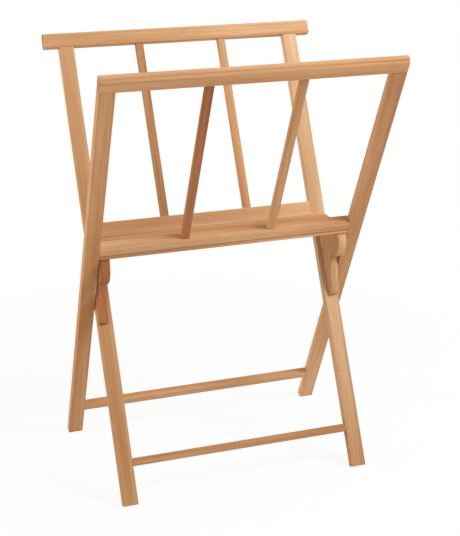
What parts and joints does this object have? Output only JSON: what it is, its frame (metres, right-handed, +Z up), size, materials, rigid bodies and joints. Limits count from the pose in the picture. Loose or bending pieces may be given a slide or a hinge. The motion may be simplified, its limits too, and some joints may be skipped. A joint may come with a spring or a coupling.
{
  "type": "art print rack",
  "caption": "Folding wooden print rack: crossed slatted frames turn on a pivot and hold a level shelf between them for prints and portfolios.",
  "frame": {"origin": "on the floor, under the middle of the pivot axis, which is the middle of the rack's plan", "axes": "+Z up, X along the rails and the pivot axis, -Y towards the front, where the top of the outer frame leans"},
  "size_m": [0.7, 0.61, 1.043],
  "materials": {
    "beech": "oiled",
    "steel": "zinc plated",
    "brass": "satin",
    "nylon": "matt"
  },
  "bodies": {
    "inner_frame": {"inner_stile_left": "beech", "inner_stile_right": "beech", "inner_top_rail": "beech", "inner_lower_rail": "beech", "inner_slat_left": "beech", "inner_slat_right": "beech", "inner_stretcher": "beech", "shelf_board": "beech", "corbel_left": "beech", "corbel_right": "beech", "corbel_screws": "brass", "shelf_screws": "brass", "pivot_sleeve_left": "steel", "pivot_sleeve_right": "steel", "pivot_bolt_left": "steel", "pivot_bolt_right": "steel", "pivot_spacer_left": "nylon", "pivot_spacer_right": "nylon"},
    "outer_frame": {"outer_stile_left": "beech", "outer_stile_right": "beech", "outer_top_rail": "beech", "outer_lower_rail": "beech", "outer_slat_left": "beech", "outer_slat_right": "beech", "outer_stretcher": "beech"}
  },
  "joints": [
    {"name": "frame_fold", "type": "hinge", "parent": "inner_frame", "child": "outer_frame", "pos_m": [0, 0, 0.44061], "axis": [-1, 0, 0], "range_deg": [0, 42]}
  ]
}
